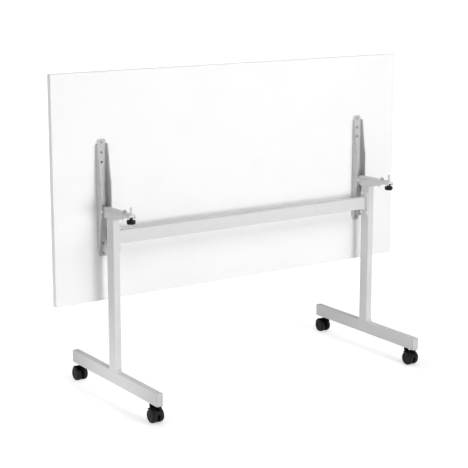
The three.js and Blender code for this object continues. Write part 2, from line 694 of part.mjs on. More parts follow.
for (const [legName, side] of [["left", -1], ["right", 1]]) {
  const leg = new THREE.Group();
  leg.position.x = side * LEG_X;
  table.add(leg);
  place(`foot_${legName}`, foot(), FINISHES.silver, leg);
  place(`column_${legName}`, column(), FINISHES.silver, leg);
  place(`arm_${legName}`, arm(), FINISHES.silver, leg);
  place(`pivot_bolt_${legName}`, pivotBolt(), FINISHES.steel, leg);
  place(`bump_stop_${legName}`, bumpStop(), FINISHES.rubber, leg);
  place(`lock_knob_${legName}`, lockKnob(), FINISHES.blackPlastic, leg);
  place(`lock_stud_${legName}`, lockStud(), FINISHES.steel, leg);
  place(`lock_washer_${legName}`, lockWasher(), FINISHES.steel, leg);
  place(`bracket_${legName}`, bracket(), FINISHES.silver, leg);
  const socket = place(`lock_socket_${legName}`, lockSocket(), FINISHES.steel, leg);
  socket.position.z = LOCK_Z;
  SCREW_OFFSETS.forEach((offset, i) => {
    const screw = place(`bracket_screw_${legName}_${i + 1}`, bracketScrew(), FINISHES.steel, leg);
    screw.position.z = BRACKET_CENTRE + offset;
  });

  for (const [endName, end] of [["front", -1], ["back", 1]]) {
    const corner = `${legName}_${endName}`;
    const turn = end < 0 ? Math.PI : 0;
    const cap = place(`end_cap_${corner}`, endCap(), FINISHES.capPlastic, leg);
    cap.rotation.z = turn;

    const castor = new THREE.Group();
    castor.position.y = end * STEM_REACH;
    castor.rotation.z = turn;
    leg.add(castor);
    place(`castor_stem_${corner}`, castorStem(), FINISHES.steel, castor);
    place(`castor_body_${corner}`, castorBody(), FINISHES.blackPlastic, castor);
    place(`castor_axle_${corner}`, castorAxle(), FINISHES.steel, castor);
    place(`brake_pedal_${corner}`, brakePedal(), FINISHES.blackPlastic, castor);
    for (const wheelSide of [-1, 1]) {
      const wheelName = wheelSide * end * side > 0 ? "outer" : "inner";
      place(`wheel_${corner}_${wheelName}`, wheel(wheelSide), FINISHES.tread, castor);
    }
  }
}

export default table;
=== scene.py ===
"""Looks of a flip top training table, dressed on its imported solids.

Metres and degrees, in the solids' own frame: +X along the table, +Y towards the upright top, +Z up.
"""
import json
import math

import bmesh
import bpy
from mathutils import Matrix, Vector


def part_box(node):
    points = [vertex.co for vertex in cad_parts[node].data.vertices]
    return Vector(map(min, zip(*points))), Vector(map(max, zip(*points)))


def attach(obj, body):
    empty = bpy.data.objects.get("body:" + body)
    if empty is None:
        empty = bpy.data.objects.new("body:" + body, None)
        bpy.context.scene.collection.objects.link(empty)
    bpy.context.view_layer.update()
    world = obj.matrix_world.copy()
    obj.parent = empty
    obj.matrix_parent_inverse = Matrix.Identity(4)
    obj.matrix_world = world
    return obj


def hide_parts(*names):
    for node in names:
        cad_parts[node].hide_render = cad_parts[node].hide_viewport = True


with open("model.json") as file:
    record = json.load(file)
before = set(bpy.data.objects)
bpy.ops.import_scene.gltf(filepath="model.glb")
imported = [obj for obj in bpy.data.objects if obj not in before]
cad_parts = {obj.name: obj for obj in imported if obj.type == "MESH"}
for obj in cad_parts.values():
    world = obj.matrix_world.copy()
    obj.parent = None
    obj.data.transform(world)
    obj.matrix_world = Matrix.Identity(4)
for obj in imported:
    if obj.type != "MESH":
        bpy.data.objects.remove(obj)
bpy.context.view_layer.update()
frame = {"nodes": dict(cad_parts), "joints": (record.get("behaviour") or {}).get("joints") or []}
joints = {joint["name"]: joint for joint in frame["joints"]}

MM = 0.001
SIDES = ("left", "right")
ENDS = ("front", "back")

# Tubes and welds of the frame
TUBE_WALL = 2 * MM
TUBE_CORNER = 2.6 * MM
CORNER_STEPS = 6
WELD_STEP = 0.5 * MM
WELD_PITCH = 2.4 * MM
WELD_RIPPLE = 0.07
WELD_ROOT = 0.6 * MM
WELD_ARC_STEPS = 6
WELD_CROWN = 1.45
WELD_END = 0.4
FOOT_WELD = 8.5 * MM
BEAM_WELD = 3 * MM
FLANGE_THICKNESS = 4 * MM
FLANGE_CORNER = 3 * MM
FLANGE_EDGE = 0.6 * MM
FLANGE_BOLT_SPREAD_Y = 15.8 * MM
FLANGE_BOLT_SPREAD_Z = 35 * MM
FLANGE_BOLT_RADIUS = 5.2 * MM
FLANGE_BOLT_HEAD = 3.2 * MM
FLANGE_BOLT_SOCKET = 2 * MM
CAP_CLEARANCE = 0.3 * MM
CAP_LEAST_CORNER = 0.6 * MM

# Bearer arm
ARM_EDGE = 2.2 * MM
ARM_TAPER_END = -104 * MM
ARM_TAPER_RISE = 24 * MM
ARM_NOSE_HEIGHT = 13 * MM
ARM_TAB = 7 * MM
NOSE_WALL = 2 * MM
NOSE_POCKET = 27 * MM
HEEL_HEIGHT = 8 * MM
EYE_FROM = -20
BOSS_RADIUS = 9 * MM
SEAM_HEIGHT = 1.6 * MM
SEAM_DEPTH = 3 * MM
SEAM_BELOW_TOP = 6.5 * MM
SEAM_FROM = -22 * MM
SEAM_TO = 26 * MM
RIVET_Y = -68 * MM
RIVET_RADIUS = 4.2 * MM
RIVET_DROP = 4.5 * MM
PIVOT_SHANK = 4 * MM
PIVOT_SOCKET = 2.5 * MM
PIVOT_HEAD_GAP = 0.15 * MM
STOP_SKIRT = 2 * MM

# Folded bracket
SHEET = 3 * MM
FOLD_RADIUS = 4.2 * MM
FOLD_STEPS = 6
BRACKET_TAB_WIDTH = 32 * MM
BRACKET_TAB_CORNER = 6 * MM
BRACKET_EDGE = 0.5 * MM
WALL_HALF_LENGTH = 190 * MM
WALL_FULL_HALF_LENGTH = 65 * MM
WALL_HEIGHT = 34 * MM
WALL_END_HEIGHT = 13.5 * MM
WALL_CORNER = 10 * MM
WALL_EAR = 9.5 * MM
LOCK_HOLE = 7.5 * MM
PIVOT_HOLE = 4.3 * MM
SCREW_NUMBERS = range(1, 5)
SCREW_HOLE = 2.5 * MM
SCREW_SHANK = 2.1 * MM
SCREW_TIP = 3 * MM
RECESS_TOP = (0.5 * MM, 1.9 * MM)
RECESS_BOTTOM = (0.4 * MM, 1.5 * MM)
COLLAR_HEIGHT = 1.6 * MM
COLLAR_GAP = 0.3 * MM
COLLAR_EDGE = 0.6 * MM
INSERT_BORE = 4.6 * MM
INSERT_FLOOR = 1.5 * MM

# Lock screw
THREAD_PITCH = 1.25 * MM
THREAD_DEPTH = 0.65 * MM
THREAD_STEPS = 8
STUD_SEGMENTS = 28
STUD_CHAMFER = THREAD_DEPTH * 1.4
STUD_HOLE = 4.3 * MM
STUD_CLEARANCE = 0.3 * MM
WASHER_EDGE = 0.25 * MM
KNOB_LOBES = 5

# Castor body: angles go round the axle, from straight back over the top to the neck
HOOD_INNER = 26.3 * MM
HOOD_OUTER = 28.8 * MM
HOOD_FROM = 84
HOOD_TO = 138
HOOD_OVERLAP = 2
HOOD_HALF_WIDTH = 19 * MM
HOOD_EDGE = 0.9 * MM
BODY_HALF_WIDTH = 6.5 * MM
BODY_FROM = 12
BODY_TO = 165
BODY_UNDER_PEDAL = 17.5 * MM
BODY_UNDER_HOOD = HOOD_OUTER - 0.4 * MM
BODY_STEP = 1
AXLE_BOSS = 9 * MM
AXLE_BOSS_ARC = (215, 330)
NECK_RADIUS = 9 * MM
NECK_FROM = 47 * MM
NECK_TOP = 61.4 * MM
NECK_SHOULDER = 1.5 * MM
NECK_EDGE = 0.6 * MM
TONGUE_HALF_WIDTH = 8 * MM
TONGUE_TO = 43
CHEEK_RADIUS = 2.4 * MM
HINGE_RADIUS = 27.8 * MM
HINGE_ANGLE = 74

# Brake pedal
PEDAL_HALF_WIDTH = 16 * MM
PEDAL_FROM = 80
PEDAL_TO = 16
PEDAL_LIP_ARC = 8
PEDAL_LIP = 0.8 * MM
PEDAL_UNDER = 26.4 * MM
PEDAL_THICKNESS = 2.4 * MM
PEDAL_LIFT = 1.2 * MM
PEDAL_EDGE = 0.7 * MM
PEDAL_GAP = 0.6 * MM
PEDAL_RIBS = (24, 30, 36)
PEDAL_RIB_RADIUS = 0.9 * MM
PEDAL_RIB_SINK = 0.3 * MM
PEDAL_RIB_INSET = 3 * MM
NOTCH_TO = 41
TRUNNION_RADIUS = 1.4 * MM
TRUNNION_HALF_LENGTH = 18 * MM

# Wheels
WHEEL_SEGMENTS = 64
WHEEL_HUB = 8 * MM
WHEEL_HUB_RADIUS = 6 * MM
WHEEL_BORE = 3.3 * MM
WHEEL_CAP = 3.4 * MM
WHEEL_TREAD_EDGE = 2.4 * MM
WHEEL_SHOULDER = 7 * MM
WHEEL_DISC = 1.2 * MM
WHEEL_GROOVE = 0.7 * MM
WHEEL_ROOM = 0.6 * MM
CUP_RADIUS = 19.6 * MM
CUP_EDGE = 1 * MM

# Picture
CAMERA_PLACE = (-2.737, -3.945, 1.577)
CAMERA_YAW = 34.13
CAMERA_PITCH = 11.34
CAMERA_LENS = 103.08
CAMERA_SENSOR = 36.0
CAMERA_SHIFT_Y = -0.05
FLOOR_RADIUS = 60.0
FLOOR_COLOUR = (0.86, 0.86, 0.86)
# The lift rises from front to back over a depth, and once more over a reach from the middle
FLOOR_LIFT = (0.43, 0.66)
FLOOR_LIFT_DEPTH = (-0.3, 0.6)
FLOOR_LIFT_FAR = 0.3
FLOOR_LIFT_REACH = (0.7, 3.0)
CEILING_LIGHT = 0.25
# Axis, direction along it and strength of each lit wall
WALL_LIGHT = (("Y", 1, 1.3), ("X", -1, 0.45), ("X", 1, 0.15))


# Materials

class Finish:
    """A procedural material: one Principled shader fed by patterns in object space."""

    def __init__(self, name, metallic=0.0, specular=0.5):
        self.material = bpy.data.materials.new(name)
        self.material.use_nodes = True
        self.tree = self.material.node_tree
        self.shader = self.tree.nodes["Principled BSDF"]
        self.shader.inputs["Metallic"].default_value = metallic
        self.shader.inputs["Specular IOR Level"].default_value = specular
        self.place = self.node("TexCoord").outputs["Object"]

    def node(self, kind):
        return self.tree.nodes.new(f"ShaderNode{kind}")

    def link(self, output, socket):
        self.tree.links.new(output, socket)

    def texture(self, kind, sizes):
        """A texture whose pattern has these sizes along the axes."""
        mapping = self.node("Mapping")
        mapping.inputs["Scale"].default_value = [1 / size for size in sizes]
        self.link(self.place, mapping.inputs["Vector"])
        texture = self.node(kind)
        texture.inputs["Scale"].default_value = 1.0
        self.link(mapping.outputs["Vector"], texture.inputs["Vector"])
        return texture

    def noise(self, size, detail=2.0, stretch=(1, 1, 1)):
        """Noise whose blotches are about size across, longer along the axes with a stretch over 1."""
        texture = self.texture("TexNoise", [size * longer for longer in stretch])
        texture.inputs["Detail"].default_value = detail
        return texture.outputs["Fac"]

    def specks(self, size):
        """Round cells about size across, each with a random grey value."""
        cells = self.texture("TexVoronoi", [size] * 3)
        split = self.node("SeparateColor")
        self.link(cells.outputs["Color"], split.inputs["Color"])
        return split.outputs["Red"]

    def blend(self, first, second, share):
        """The mean of two patterns, with that share of the second."""
        mix = self.node("Mix")
        mix.inputs["Factor"].default_value = share
        self.link(first, mix.inputs["A"])
        self.link(second, mix.inputs["B"])
        return mix.outputs["Result"]

    def colour(self, pattern, dark, light, low=0.3, high=0.7):
        ramp = self.node("ValToRGB")
        for element, position, shade in zip(ramp.color_ramp.elements, (low, high), (dark, light)):
            element.position = position
            element.color = (*shade, 1)
        self.link(pattern, ramp.inputs["Fac"])
        self.link(ramp.outputs["Color"], self.shader.inputs["Base Color"])
        return self

    def roughness(self, pattern, low, high):
        span = self.node("MapRange")
        span.inputs["To Min"].default_value = low
        span.inputs["To Max"].default_value = high
        self.link(pattern, span.inputs["Value"])
        self.link(span.outputs["Result"], self.shader.inputs["Roughness"])
        return self

    def bump(self, pattern, depth, strength):
        bump = self.node("Bump")
        bump.inputs["Distance"].default_value = depth
        bump.inputs["Strength"].default_value = strength
        self.link(pattern, bump.inputs["Height"])
        self.link(bump.outputs["Normal"], self.shader.inputs["Normal"])
        return self


def grey(value, warmth=0.0):
    return (value * (1 + warmth), value, value * (1 - warmth))


def melamine():
    finish = Finish("white_melamine", specular=0.35)
    cloud = finish.blend(finish.noise(0.12, 3), finish.noise(1.2 * MM, 1), 0.35)
    finish.colour(cloud, grey(0.925, 0.004), grey(0.955, 0.002))
    finish.roughness(finish.noise(2 * MM, 2), 0.42, 0.54)
    return finish.bump(finish.noise(0.8 * MM, 2), 0.05 * MM, 0.25).material


def edging():
    finish = Finish("white_edging", specular=0.4)
    along = finish.noise(3 * MM, 2, (12, 1, 12))
    finish.colour(along, grey(0.9, 0.003), grey(0.93, 0.002))
    finish.roughness(along, 0.36, 0.48)
    return finish.bump(finish.noise(0.6 * MM, 1), 0.03 * MM, 0.2).material


def silver_paint(name, shade):
    """Silver powder coat, as a share of its full brightness."""
    finish = Finish(name, metallic=0.03, specular=0.06)
    speckle = finish.blend(finish.specks(0.7 * MM), finish.noise(1.6 * MM, 3), 0.4)
    cloud = finish.blend(speckle, finish.noise(0.05, 2), 0.3)
    finish.colour(cloud, grey(0.65 * shade, -0.006), grey(0.76 * shade, -0.004), 0.2, 0.8)
    finish.roughness(speckle, 0.42, 0.58)
    return finish.bump(finish.noise(1.1 * MM, 2), 0.06 * MM, 0.3).material


def cap_plastic():
    finish = Finish("grey_cap_plastic", specular=0.4)
    cloud = finish.noise(6 * MM, 3)
    finish.colour(cloud, grey(0.54, -0.004), grey(0.6, -0.004))
    finish.roughness(cloud, 0.5, 0.62)
    return finish.bump(finish.noise(0.5 * MM, 2), 0.05 * MM, 0.35).material


def steel():
    finish = Finish("zinc_plated_steel", metallic=1.0)
    streaks = finish.blend(finish.noise(0.5 * MM, 3), finish.noise(4 * MM, 2), 0.5)
    finish.colour(streaks, grey(0.5, -0.01), grey(0.68, -0.008))
    finish.roughness(streaks, 0.26, 0.42)
    return finish.bump(finish.noise(0.4 * MM, 2), 0.03 * MM, 0.3).material


def screw_zinc(name, dark, light):
    """Zinc plating on bolts and screws, duller than bare steel."""
    finish = Finish(name, metallic=0.35)
    streaks = finish.noise(0.8 * MM, 3)
    finish.colour(streaks, grey(dark, -0.01), grey(light, -0.008))
    finish.roughness(streaks, 0.36, 0.5)
    return finish.bump(finish.noise(0.4 * MM, 2), 0.03 * MM, 0.3).material


def stop_rubber():
    finish = Finish("grey_rubber", specular=0.3)
    cloud = finish.noise(2 * MM, 3)
    finish.colour(cloud, grey(0.42), grey(0.5))
    finish.roughness(cloud, 0.65, 0.8)
    return finish.bump(finish.noise(0.5 * MM, 2), 0.06 * MM, 0.4).material


def black_plastic():
    finish = Finish("black_moulded_plastic", specular=0.14)
    grain = finish.noise(0.45 * MM, 2)
    cloud = finish.blend(grain, finish.noise(9 * MM, 2), 0.6)
    finish.colour(cloud, grey(0.004), grey(0.01))
    finish.roughness(cloud, 0.36, 0.52)
    return finish.bump(grain, 0.05 * MM, 0.35).material


# Painted shade: black plastic made deeper black than the pedal and wheels, carrying the shade under the
# foot; the wheels' inner sides use it too
def black_plastic_with_painted_shade():
    finish = Finish("deep_black_plastic_painted_shade", specular=0.03)
    grain = finish.noise(0.5 * MM, 2)
    finish.colour(grain, grey(0.001), grey(0.003))
    finish.roughness(grain, 0.5, 0.7)
    return finish.bump(grain, 0.05 * MM, 0.3).material


def wheel_plastic():
    finish = Finish("black_wheel_nylon", specular=0.14)
    scuff = finish.blend(finish.noise(1.5 * MM, 4), finish.noise(8 * MM, 2), 0.5)
    finish.colour(scuff, grey(0.006), grey(0.013))
    finish.roughness(scuff, 0.4, 0.58)
    return finish.bump(finish.noise(0.6 * MM, 2), 0.05 * MM, 0.3).material


MATERIALS = {
    "melamine": melamine(),
    "edging": edging(),
    "silver_paint": silver_paint("silver_powder_coat", 1.0),
    # Painted shade: the brackets take a darker copy of the silver coat, standing in for the shade inside
    # their channels
    "silver_paint_darkened_for_shade": silver_paint("bracket_coat_with_painted_shade", 0.83),
    "cap_plastic": cap_plastic(),
    "steel": steel(),
    # Painted shade: the screws' zinc is darkened so their heads carry the shade ring round them
    "screw_zinc": screw_zinc("dark_zinc_screws_with_painted_shade", 0.3, 0.4),
    "insert_zinc": screw_zinc("grey_zinc_inserts", 0.54, 0.64),
    "bolt_zinc": screw_zinc("bright_zinc_bolts", 0.78, 0.88),
    "stop_rubber": stop_rubber(),
    "black_plastic": black_plastic(),
    "black_plastic_with_painted_shade": black_plastic_with_painted_shade(),
    "wheel_plastic": wheel_plastic(),
}


# Mesh tools

def point(axis, a, b, along):
    """A point of a section: (Y, Z) across X, (X, Z) across Y or (X, Y) across Z."""
    if axis == "x":
        return Vector((along, a, b))
    if axis == "y":
        return Vector((a, along, b))
    return Vector((a, b, along))


def smooth(piece, crease=32):
    piece.data.shade_smooth()
    piece.data.set_sharp_from_angle(angle=math.radians(crease))
    return piece


def skin(name, points, faces):
    mesh = bpy.data.meshes.new(name)
    mesh.from_pydata(points, [], faces)
    work = bmesh.new()
    work.from_mesh(mesh)
    bmesh.ops.remove_doubles(work, verts=work.verts, dist=1e-6)
    bmesh.ops.recalc_face_normals(work, faces=work.faces)
    work.to_mesh(mesh)
    work.free()
    piece = bpy.data.objects.new(name, mesh)
    bpy.context.scene.collection.objects.link(piece)
    return smooth(piece)


def loft(name, rings, looped=False):
    """A closed skin through rings of equally many points, capped at its ends or looped round."""
    count = len(rings[0])
    points = [p for ring in rings for p in ring]
    faces = []
    for i in range(len(rings) if looped else len(rings) - 1):
        here = i * count
        there = (i + 1) % len(rings) * count
        for k in range(count):
            n = (k + 1) % count
            faces.append((here + k, here + n, there + n, there + k))
    if not looped:
        faces.append(range(count))
        faces.append(range(len(points) - count, len(points)))
    return skin(name, points, faces)


def turned(name, profile, axis, centre=(0, 0, 0), segments=32, looped=False):
    """A turned piece: the profile holds radius and place along the axis, a radius may be an outline."""
    rings = []
    for radius, along in profile:
        ring = []
        for k in range(segments):
            angle = 2 * math.pi * k / segments
            reach = radius(angle) if callable(radius) else radius
            offset = point(axis, reach * math.cos(angle), reach * math.sin(angle), along)
            ring.append(Vector(centre) + offset)
        rings.append(ring)
    return loft(name, rings, looped)


def rod(name, axis, centre, radius, start, end, segments=32):
    """A plain cylinder along an axis."""
    profile = [(0.0, start), (radius, start), (radius, end), (0.0, end)]
    return turned(name, profile, axis, centre, segments)


def hexagon(half_width):
    """Outline of a hexagon, as a radius for each angle."""
    def reach(angle):
        turn = angle % (math.pi / 3) - math.pi / 6
        return half_width / math.cos(turn)
    return reach


def cross(half_width, length):
    """Outline of a cross recess, as a radius for each angle."""
    def reach(angle):
        c = max(abs(math.cos(angle)), 1e-6)
        s = max(abs(math.sin(angle)), 1e-6)
        return max(min(length / c, half_width / s), min(length / s, half_width / c))
    return reach


def lobed(radius, depth, count):
    """Outline of a star grip, with a lobe towards -Y."""
    def reach(angle):
        return radius + depth * math.cos(count * (angle + math.pi / 2))
    return reach


def arc(centre_a, centre_b, radius, start, end, steps, last_radius=None):
    """Points along an arc, in degrees, with the radius running evenly to a last one."""
    last = radius if last_radius is None else last_radius
    points = []
    for i in range(steps + 1):
        angle = math.radians(start + (end - start) * i / steps)
        reach = radius + (last - radius) * i / steps
        points.append((centre_a + reach * math.cos(angle), centre_b + reach * math.sin(angle)))
    return points


def rounded_rectangle(low_a, low_b, high_a, high_b, radius, steps=CORNER_STEPS):
    corners = (
        (high_a - radius, high_b - radius, 0),
        (low_a + radius, high_b - radius, 90),
        (low_a + radius, low_b + radius, 180),
        (high_a - radius, low_b + radius, 270),
    )
    return [p for a, b, start in corners for p in arc(a, b, radius, start, start + 90, steps)]


def prism(name, outline, axis, start, end):
    return loft(name, [[point(axis, a, b, along) for a, b in outline] for along in (start, end)])


def settle(piece):
    """Puts a piece's modifiers into its mesh."""
    shaped = piece.evaluated_get(bpy.context.evaluated_depsgraph_get())
    mesh = bpy.data.meshes.new_from_object(shaped)
    piece.modifiers.clear()
    piece.data = mesh
    return smooth(piece)


def soften(piece, width, segments=3, angle=40):
    bevel = piece.modifiers.new("soft_edges", "BEVEL")
    bevel.width = width
    bevel.segments = segments
    bevel.limit_method = "ANGLE"
    bevel.angle_limit = math.radians(angle)
    return piece


def combine(piece, operation, *tools):
    """Joins, cuts or trims a piece by tools, which are used up."""
    for tool in tools:
        change = piece.modifiers.new("change", "BOOLEAN")
        change.operation = operation
        change.solver = "EXACT"
        change.object = tool
        settle(piece)
        bpy.data.objects.remove(tool)
    return piece


def dress(piece, body, slot, *cad_nodes, finish=None):
    """Paints a piece, hangs it on its body and lets it stand for its CAD nodes."""
    piece.data.materials.clear()
    piece.data.materials.append(MATERIALS[finish or slot])
    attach(piece, body)
    if cad_nodes:
        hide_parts(*cad_nodes)
    return piece


def paint(node, slot):
    """Gives a CAD node that stays in view its finish."""
    shown = frame["nodes"][node]
    shown.data.materials.clear()
    shown.data.materials.append(MATERIALS[slot])
    return shown


def box_tube(name, axis, low, high):
    """A rectangular tube with rounded corners that fills the box between two corners."""
    a, b, along = {"x": (1, 2, 0), "y": (0, 2, 1), "z": (0, 1, 2)}[axis]
    inset = TUBE_WALL
    outer = rounded_rectangle(low[a], low[b], high[a], high[b], TUBE_CORNER)
    inner = rounded_rectangle(
        low[a] + inset, low[b] + inset, high[a] - inset, high[b] - inset, TUBE_CORNER - inset
    )
    start, end = low[along], high[along]
    runs = ((outer, start), (outer, end), (inner, end), (inner, start))
    rings = [[point(axis, p, q, place) for p, q in outline] for outline, place in runs]
    return loft(name, rings, looped=True)


def weld(name, start, end, out, up, leg):
    """A rippled fillet bead from start to end, in the corner between the directions out and up."""
    start, end, out, up = Vector(start), Vector(end), Vector(out), Vector(up)
    length = (end - start).length
    steps = max(4, round(length / WELD_STEP))
    rings = []
    for i in range(steps + 1):
        travelled = length * i / steps
        ripple = 1 + WELD_RIPPLE * math.cos(2 * math.pi * travelled / WELD_PITCH)
        to_end = min(travelled, length - travelled) / leg
        taper = math.sqrt(1 - (1 - min(1, 2 * to_end)) ** 2) * (1 - WELD_END) + WELD_END
        reach = leg * ripple * taper
        root = start.lerp(end, i / steps)
        ring = [root - (out + up) * WELD_ROOT]
        for k in range(WELD_ARC_STEPS + 1):
            angle = math.pi / 2 * k / WELD_ARC_STEPS
            across = reach * math.cos(angle) ** WELD_CROWN
            height = reach * max(0.0, math.sin(angle)) ** WELD_CROWN
            ring.append(root + out * (across if k < WELD_ARC_STEPS else 0) + up * height)
        rings.append(ring)
    return loft(name, rings)


def button_head(name, axis, centre, out, radius, height, socket):
    """A domed bolt head with a hexagon socket, standing out from a face along an axis."""
    profile = [
        (0.0, 0.0),
        (radius, 0.0),
        (radius, out * height * 0.3),
        (radius * 0.94, out * height * 0.58),
        (radius * 0.8, out * height * 0.85),
        (radius * 0.62, out * height),
        (hexagon(socket), out * height),
        (hexagon(socket), out * height * 0.35),
        (0.0, out * height * 0.2),
    ]
    return turned(name, profile, axis, centre, 36)


# Table top

paint("table_top", "melamine")
paint("edge_band", "edging")


# Folded brackets

def bracket_wall_outline(low, high, pivot):
    """Side outline of the bracket in Y and Z: the walls taper to both ends, with an ear at the pivot."""
    underside = high.y
    centre = (low.z + high.z) / 2
    front = underside - WALL_HEIGHT
    end_front = underside - WALL_END_HEIGHT
    ear = math.degrees(math.acos((front - pivot.y) / WALL_EAR))
    easing = WALL_CORNER / 2
    return [
        (underside, centre - WALL_HALF_LENGTH),
        (end_front, centre - WALL_HALF_LENGTH),
        (front + easing, centre - WALL_FULL_HALF_LENGTH - WALL_CORNER),
        (front + easing / 4, centre - WALL_FULL_HALF_LENGTH),
        (front, centre - WALL_FULL_HALF_LENGTH + WALL_CORNER),
        *arc(pivot.y, pivot.z, WALL_EAR, 360 - ear, ear, 14),
        (front, centre + WALL_FULL_HALF_LENGTH - WALL_CORNER),
        (front + easing / 4, centre + WALL_FULL_HALF_LENGTH),
        (front + easing, centre + WALL_FULL_HALF_LENGTH + WALL_CORNER),
        (end_front, centre + WALL_HALF_LENGTH),
        (underside, centre + WALL_HALF_LENGTH),
    ]


def channel_outline(low, high):
    """Section of the folded sheet in X and Y, open towards -Y."""
    inner = FOLD_RADIUS - SHEET
    left, right, back = low.x, high.x, high.y
    return [
        (left, low.y - SHEET),
        *arc(left + FOLD_RADIUS, back - FOLD_RADIUS, FOLD_RADIUS, 180, 90, FOLD_STEPS),
        *arc(right - FOLD_RADIUS, back - FOLD_RADIUS, FOLD_RADIUS, 90, 0, FOLD_STEPS),
        (right, low.y - SHEET),
        (right - SHEET, low.y - SHEET),
        *arc(right - FOLD_RADIUS, back - FOLD_RADIUS, inner, 0, 90, FOLD_STEPS),
        *arc(left + FOLD_RADIUS, back - FOLD_RADIUS, inner, 90, 180, FOLD_STEPS),
        (left + SHEET, low.y - SHEET),
    ]


def bracket(side):
    low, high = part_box(f"bracket_{side}")
    pivot = Vector(joints["top_flip"]["pos_m"])
    middle = (low + high) / 2
    folded = prism(f"folded_bracket_{side}", channel_outline(low, high), "z", low.z, high.z)
    walls = prism("walls", bracket_wall_outline(low, high, pivot), "x", low.x - SHEET, high.x + SHEET)
    combine(folded, "INTERSECT", walls)
    half_tab = BRACKET_TAB_WIDTH / 2
    tab_outline = rounded_rectangle(
        middle.x - half_tab, low.z, middle.x + half_tab, high.z, BRACKET_TAB_CORNER
    )
    tab = prism("tab", tab_outline, "y", high.y - SHEET, high.y)
    combine(folded, "UNION", tab)
    screw_places = [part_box(f"bracket_screw_{side}_{number}") for number in SCREW_NUMBERS]
    socket_low, socket_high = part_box(f"lock_socket_{side}")
    holes = [(SCREW_HOLE, (a.z + b.z) / 2) for a, b in screw_places]
    holes.append((LOCK_HOLE, (socket_low.z + socket_high.z) / 2))
    ahead, behind = high.y - 2 * SHEET, high.y + SHEET
    cutters = [rod("hole", "y", (middle.x, 0, z), radius, ahead, behind) for radius, z in holes]
    reach = (high.x - low.x) / 2 + SHEET
    cutters.append(rod("hole", "x", (middle.x, pivot.y, pivot.z), PIVOT_HOLE, -reach, reach))
    combine(folded, "DIFFERENCE", *cutters)
    soften(folded, BRACKET_EDGE, 2, 50)
    # The bracket's darker copy of the silver coat is painted shade
    return dress(folded, "top", "silver_paint", f"bracket_{side}", finish="silver_paint_darkened_for_shade")


def bracket_screw(side, number):
    """A pan head screw with a cross recess."""
    node = f"bracket_screw_{side}_{number}"
    low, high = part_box(node)
    centre = ((low.x + high.x) / 2, 0, (low.z + high.z) / 2)
    head = (high.x - low.x) / 2
    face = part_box(f"bracket_{side}")[1].y - SHEET
    height = face - low.y
    profile = [
        (0.0, high.y),
        (SCREW_SHANK, high.y - SCREW_TIP),
        (SCREW_SHANK, face),
        (head, face),
        (head, face - height * 0.35),
        (head * 0.9, face - height * 0.72),
        (head * 0.72, face - height * 0.93),
        (head * 0.6, low.y),
        (cross(*RECESS_TOP), low.y),
        (cross(*RECESS_BOTTOM), low.y + height * 0.35),
        (0.0, low.y + height * 0.45),
    ]
    piece = turned(f"cross_head_screw_{side}_{number}", profile, "y", centre, 48)
    # Zinc screws, their dark colour partly painted shade round the heads
    return dress(piece, "top", "steel", node, finish="screw_zinc")


def lock_insert(side):
    """A threaded insert in the board, with a collar that fills the bracket's hole."""
    node = f"lock_socket_{side}"
    low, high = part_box(node)
    centre = ((low.x + high.x) / 2, 0, (low.z + high.z) / 2)
    radius = (high.x - low.x) / 2
    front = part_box(f"bracket_{side}")[1].y - SHEET - COLLAR_HEIGHT
    collar = LOCK_HOLE - COLLAR_GAP
    profile = [
        (0.0, high.y),
        (radius, high.y),
        (radius, low.y + COLLAR_GAP),
        (collar, low.y + COLLAR_GAP),
        (collar, front + COLLAR_EDGE),
        (collar - COLLAR_EDGE, front),
        (INSERT_BORE + COLLAR_EDGE, front),
        (INSERT_BORE, front + COLLAR_EDGE),
        (INSERT_BORE, high.y - INSERT_FLOOR),
        (0.0, high.y - INSERT_FLOOR),
    ]
    piece = turned(f"lock_insert_{side}", profile, "y", centre, 40)
    return dress(piece, "top", "steel", node, finish="insert_zinc")


for side in SIDES:
    bracket(side)
    lock_insert(side)
    for number in SCREW_NUMBERS:
        bracket_screw(side, number)


# Legs

def foot_height(side):
    low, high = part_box(f"foot_{side}")
    return high.z - low.z


def foot(side):
    low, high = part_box(f"foot_{side}")
    tube = box_tube(f"foot_tube_{side}", "y", low, high)
    return dress(tube, "frame", "silver_paint", f"foot_{side}")


def foot_cap(side, end):
    """A moulded plug with a pillowed head."""
    node = f"end_cap_{side}_{end}"
    low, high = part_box(node)
    foot_low, foot_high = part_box(f"foot_{side}")
    out = -1 if end == "front" else 1
    tip = low.y if out < 0 else high.y
    root = high.y if out < 0 else low.y
    seat = foot_low.y if out < 0 else foot_high.y
    plug = TUBE_WALL + CAP_CLEARANCE
    # Inset from the tube's outside and place along Y: the plug, the seat and the pillowed head
    sections = (
        (plug, root),
        (plug, seat),
        (0.0, seat),
        (0.0, tip - out * 1.8 * MM),
        (0.25 * MM, tip - out * 1.0 * MM),
        (0.9 * MM, tip - out * 0.3 * MM),
        (2.0 * MM, tip),
    )
    rings = []
    for inset, y in sections:
        corner = max(TUBE_CORNER - inset * 0.5, CAP_LEAST_CORNER)
        outline = rounded_rectangle(low.x + inset, low.z + inset, high.x - inset, high.z - inset, corner)
        rings.append([point("y", a, b, y) for a, b in outline])
    return dress(loft(f"foot_cap_{side}_{end}", rings), "frame", "cap_plastic", node)


def column(side):
    low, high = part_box(f"column_{side}")
    depth = foot_height(side) / 2
    low.y, high.y = -depth, depth
    tube = box_tube(f"column_tube_{side}", "z", low, high)
    dress(tube, "frame", "silver_paint", f"column_{side}")
    for end, out in zip(ENDS, (-1, 1)):
        inset = TUBE_CORNER / 2
        start = (low.x + inset, out * depth, low.z)
        stop = (high.x - inset, out * depth, low.z)
        bead = weld(f"foot_weld_{side}_{end}", start, stop, (0, out, 0), (0, 0, 1), FOOT_WELD)
        dress(bead, "frame", "silver_paint")


